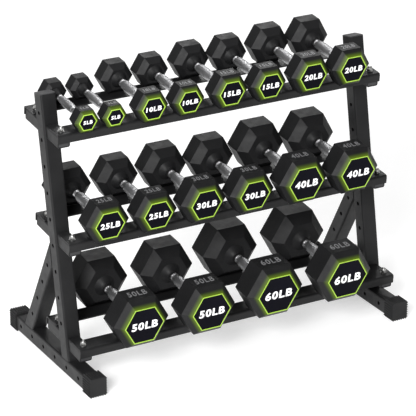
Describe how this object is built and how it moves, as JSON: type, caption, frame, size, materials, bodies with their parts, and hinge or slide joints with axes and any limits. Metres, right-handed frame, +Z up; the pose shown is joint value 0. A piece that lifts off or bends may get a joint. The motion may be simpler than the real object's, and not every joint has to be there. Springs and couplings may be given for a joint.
{
  "type": "dumbbell rack",
  "caption": "Free-standing three-tier steel rack with leaning posts, angle rails on short arms and ribbed rubber feet, holding pairs of hexagonal dumbbells.",
  "frame": {"origin": "on the floor, under the middle of the bounding box of the rack with its dumbbells", "axes": "+X along the rails to the user's right, +Y from the user's side towards the back, +Z up"},
  "size_m": [1.02, 0.533, 0.8225],
  "materials": {
    "powder_coat": "fine-textured satin black powder coat",
    "foot_rubber": "matte moulded black",
    "cap_plastic": "satin moulded black",
    "zinc": "bright zinc plate",
    "dumbbell_iron": "cast iron under a matte black rubber coat",
    "dumbbell_rubber": "fine-textured matte black coat",
    "handle_chrome": "knurled chrome",
    "face_plate": "satin black",
    "ring_green": "bright lime-green print",
    "mark_white": "white print",
    "mark_grey": "raised moulded numbers"
  },
  "bodies": {
    "rack": {"arm_front_bottom_left": "powder_coat", "arm_front_bottom_right": "powder_coat", "arm_front_middle_left": "powder_coat", "arm_front_middle_right": "powder_coat", "arm_front_top_left": "powder_coat", "arm_front_top_right": "powder_coat", "arm_rear_bottom_left": "powder_coat", "arm_rear_bottom_right": "powder_coat", "arm_rear_middle_left": "powder_coat", "arm_rear_middle_right": "powder_coat", "arm_rear_top_left": "powder_coat", "arm_rear_top_right": "powder_coat", "base_beam_left": "powder_coat", "base_beam_right": "powder_coat", "bolt_front_bottom_left": "zinc", "bolt_front_bottom_right": "zinc", "bolt_front_middle_left": "zinc", "bolt_front_middle_right": "zinc", "bolt_front_top_left": "zinc", "bolt_front_top_right": "zinc", "bolt_rear_bottom_left": "zinc", "bolt_rear_bottom_right": "zinc", "bolt_rear_middle_left": "zinc", "bolt_rear_middle_right": "zinc", "bolt_rear_top_left": "zinc", "bolt_rear_top_right": "zinc", "brace_left": "powder_coat", "brace_right": "powder_coat", "foot_front_left": "foot_rubber", "foot_front_right": "foot_rubber", "foot_rear_left": "foot_rubber", "foot_rear_right": "foot_rubber", "post_cap_left": "cap_plastic", "post_cap_right": "cap_plastic", "post_left": "powder_coat", "post_right": "powder_coat", "rail_front_bottom": "powder_coat", "rail_front_middle": "powder_coat", "rail_front_top": "powder_coat", "rail_rear_bottom": "powder_coat", "rail_rear_middle": "powder_coat", "rail_rear_top": "powder_coat"},
    "dumbbell_5lb_left": {"dumbbell_5lb_left": "dumbbell_iron"},
    "dumbbell_5lb_right": {"dumbbell_5lb_right": "dumbbell_iron"},
    "dumbbell_10lb_left": {"dumbbell_10lb_left": "dumbbell_iron"},
    "dumbbell_10lb_right": {"dumbbell_10lb_right": "dumbbell_iron"},
    "dumbbell_15lb_left": {"dumbbell_15lb_left": "dumbbell_iron"},
    "dumbbell_15lb_right": {"dumbbell_15lb_right": "dumbbell_iron"},
    "dumbbell_20lb_left": {"dumbbell_20lb_left": "dumbbell_iron"},
    "dumbbell_20lb_right": {"dumbbell_20lb_right": "dumbbell_iron"},
    "dumbbell_25lb_left": {"dumbbell_25lb_left": "dumbbell_iron"},
    "dumbbell_25lb_right": {"dumbbell_25lb_right": "dumbbell_iron"},
    "dumbbell_30lb_left": {"dumbbell_30lb_left": "dumbbell_iron"},
    "dumbbell_30lb_right": {"dumbbell_30lb_right": "dumbbell_iron"},
    "dumbbell_40lb_left": {"dumbbell_40lb_left": "dumbbell_iron"},
    "dumbbell_40lb_right": {"dumbbell_40lb_right": "dumbbell_iron"},
    "dumbbell_50lb_left": {"dumbbell_50lb_left": "dumbbell_iron"},
    "dumbbell_50lb_right": {"dumbbell_50lb_right": "dumbbell_iron"},
    "dumbbell_60lb_left": {"dumbbell_60lb_left": "dumbbell_iron"},
    "dumbbell_60lb_right": {"dumbbell_60lb_right": "dumbbell_iron"}
  },
  "joints": [
    {"name": "lift_dumbbell_5lb_left", "type": "slide", "parent": "rack", "child": "dumbbell_5lb_left", "axis": [0, -0.9659, 0.2588], "range_m": [0, 0.4]},
    {"name": "lift_dumbbell_5lb_right", "type": "slide", "parent": "rack", "child": "dumbbell_5lb_right", "axis": [0, -0.9659, 0.2588], "range_m": [0, 0.4]},
    {"name": "lift_dumbbell_10lb_left", "type": "slide", "parent": "rack", "child": "dumbbell_10lb_left", "axis": [0, -0.9659, 0.2588], "range_m": [0, 0.4]},
    {"name": "lift_dumbbell_10lb_right", "type": "slide", "parent": "rack", "child": "dumbbell_10lb_right", "axis": [0, -0.9659, 0.2588], "range_m": [0, 0.4]},
    {"name": "lift_dumbbell_15lb_left", "type": "slide", "parent": "rack", "child": "dumbbell_15lb_left", "axis": [0, -0.9659, 0.2588], "range_m": [0, 0.4]},
    {"name": "lift_dumbbell_15lb_right", "type": "slide", "parent": "rack", "child": "dumbbell_15lb_right", "axis": [0, -0.9659, 0.2588], "range_m": [0, 0.4]},
    {"name": "lift_dumbbell_20lb_left", "type": "slide", "parent": "rack", "child": "dumbbell_20lb_left", "axis": [0, -0.9659, 0.2588], "range_m": [0, 0.4]},
    {"name": "lift_dumbbell_20lb_right", "type": "slide", "parent": "rack", "child": "dumbbell_20lb_right", "axis": [0, -0.9659, 0.2588], "range_m": [0, 0.4]},
    {"name": "lift_dumbbell_25lb_left", "type": "slide", "parent": "rack", "child": "dumbbell_25lb_left", "axis": [0.14, -0.8743, 0.4648], "range_m": [0, 0.4]},
    {"name": "lift_dumbbell_25lb_right", "type": "slide", "parent": "rack", "child": "dumbbell_25lb_right", "axis": [0, -0.9659, 0.2588], "range_m": [0, 0.4]},
    {"name": "lift_dumbbell_30lb_left", "type": "slide", "parent": "rack", "child": "dumbbell_30lb_left", "axis": [0, -0.9659, 0.2588], "range_m": [0, 0.4]},
    {"name": "lift_dumbbell_30lb_right", "type": "slide", "parent": "rack", "child": "dumbbell_30lb_right", "axis": [0, -0.9659, 0.2588], "range_m": [0, 0.4]},
    {"name": "lift_dumbbell_40lb_left", "type": "slide", "parent": "rack", "child": "dumbbell_40lb_left", "axis": [0, -0.9659, 0.2588], "range_m": [0, 0.4]},
    {"name": "lift_dumbbell_40lb_right", "type": "slide", "parent": "rack", "child": "dumbbell_40lb_right", "axis": [0, -0.9659, 0.2588], "range_m": [0, 0.4]},
    {"name": "lift_dumbbell_50lb_left", "type": "slide", "parent": "rack", "child": "dumbbell_50lb_left", "axis": [0, -0.9659, 0.2588], "range_m": [0, 0.4]},
    {"name": "lift_dumbbell_50lb_right", "type": "slide", "parent": "rack", "child": "dumbbell_50lb_right", "axis": [0, -0.9659, 0.2588], "range_m": [0, 0.4]},
    {"name": "lift_dumbbell_60lb_left", "type": "slide", "parent": "rack", "child": "dumbbell_60lb_left", "axis": [0, -0.9659, 0.2588], "range_m": [0, 0.4]},
    {"name": "lift_dumbbell_60lb_right", "type": "slide", "parent": "rack", "child": "dumbbell_60lb_right", "axis": [0, -0.9659, 0.2588], "range_m": [0, 0.4]}
  ]
}
